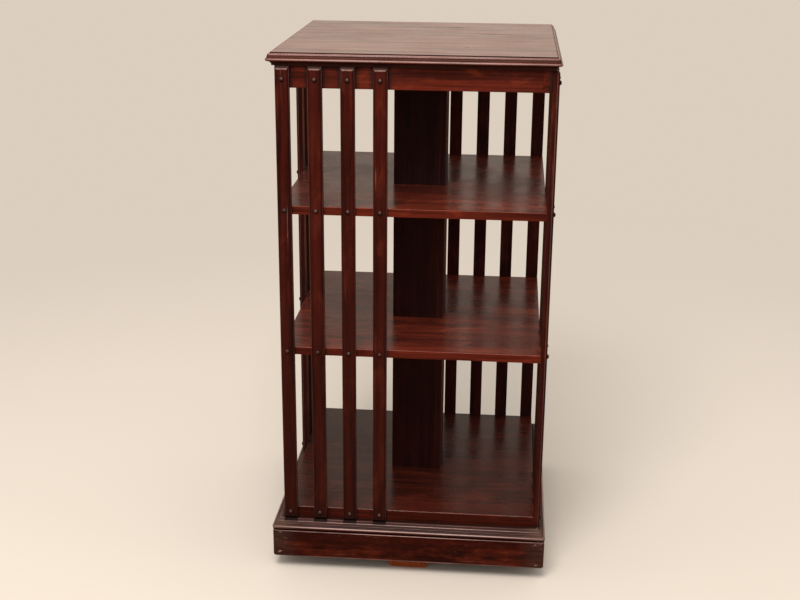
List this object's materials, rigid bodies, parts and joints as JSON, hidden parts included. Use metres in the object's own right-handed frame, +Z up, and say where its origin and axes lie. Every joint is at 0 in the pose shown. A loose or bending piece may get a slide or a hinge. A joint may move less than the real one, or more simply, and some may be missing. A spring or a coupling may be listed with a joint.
{
  "type": "revolving bookcase",
  "caption": "Revolving bookcase: a square slatted case with open tiers, moulded top and base, that turns on a steel spindle in a low cross foot.",
  "frame": {"origin": "on the floor under the middle of the spindle", "axes": "+Z up along the spindle; the front face looks along -Y, and +X is to its right"},
  "size_m": [0.574, 0.574, 1.0895],
  "materials": {
    "top_mahogany": "polished, faded, with a soft sheen",
    "case_mahogany": "glossy dark polish, worn paler on the arrises",
    "slat_mahogany": "glossy dark polish",
    "column_mahogany": "satin dark stain",
    "inner_pine": "bare sawn wood",
    "foot_beech": "stained, thinly varnished",
    "cast_iron": "black japanned casting",
    "spindle_steel": "turned, lightly oiled",
    "screw_steel": "plain, dull",
    "stud_metal": "dark lacquered dome"
  },
  "bodies": {
    "foot": {"foot_arm_x": "foot_beech", "foot_arm_y": "foot_beech", "foot_flange": "cast_iron", "foot_flange_screws": "screw_steel", "spindle": "spindle_steel"},
    "case": {"base_moulding_back": "case_mahogany", "base_moulding_front": "case_mahogany", "base_moulding_left": "case_mahogany", "base_moulding_right": "case_mahogany", "column_back": "column_mahogany", "column_front": "column_mahogany", "column_left": "column_mahogany", "column_right": "column_mahogany", "frieze_back": "case_mahogany", "frieze_front": "case_mahogany", "frieze_left": "case_mahogany", "frieze_right": "case_mahogany", "lower_bearer": "inner_pine", "lower_bearing": "cast_iron", "lower_bearing_screws": "screw_steel", "pivot_bridge": "inner_pine", "plinth_back": "case_mahogany", "plinth_corner_blocks": "inner_pine", "plinth_front": "case_mahogany", "plinth_left": "case_mahogany", "plinth_right": "case_mahogany", "shelf_bottom": "case_mahogany", "shelf_middle": "case_mahogany", "shelf_upper": "case_mahogany", "slat_back_1": "slat_mahogany", "slat_back_2": "slat_mahogany", "slat_back_3": "slat_mahogany", "slat_back_4": "slat_mahogany", "slat_front_1": "slat_mahogany", "slat_front_2": "slat_mahogany", "slat_front_3": "slat_mahogany", "slat_front_4": "slat_mahogany", "slat_left_1": "slat_mahogany", "slat_left_2": "slat_mahogany", "slat_left_3": "slat_mahogany", "slat_left_4": "slat_mahogany", "slat_right_1": "slat_mahogany", "slat_right_2": "slat_mahogany", "slat_right_3": "slat_mahogany", "slat_right_4": "slat_mahogany", "studs_bottom_shelf": "stud_metal", "studs_frieze": "stud_metal", "studs_middle_shelf": "stud_metal", "studs_upper_shelf": "stud_metal", "top_board": "top_mahogany", "top_corner_blocks": "inner_pine", "upper_socket": "cast_iron", "upper_socket_screws": "screw_steel"}
  },
  "joints": [
    {"name": "case_spin", "type": "hinge", "parent": "foot", "child": "case", "pos_m": [0, 0, 0], "axis": [0, 0, 1], "continuous": true}
  ]
}
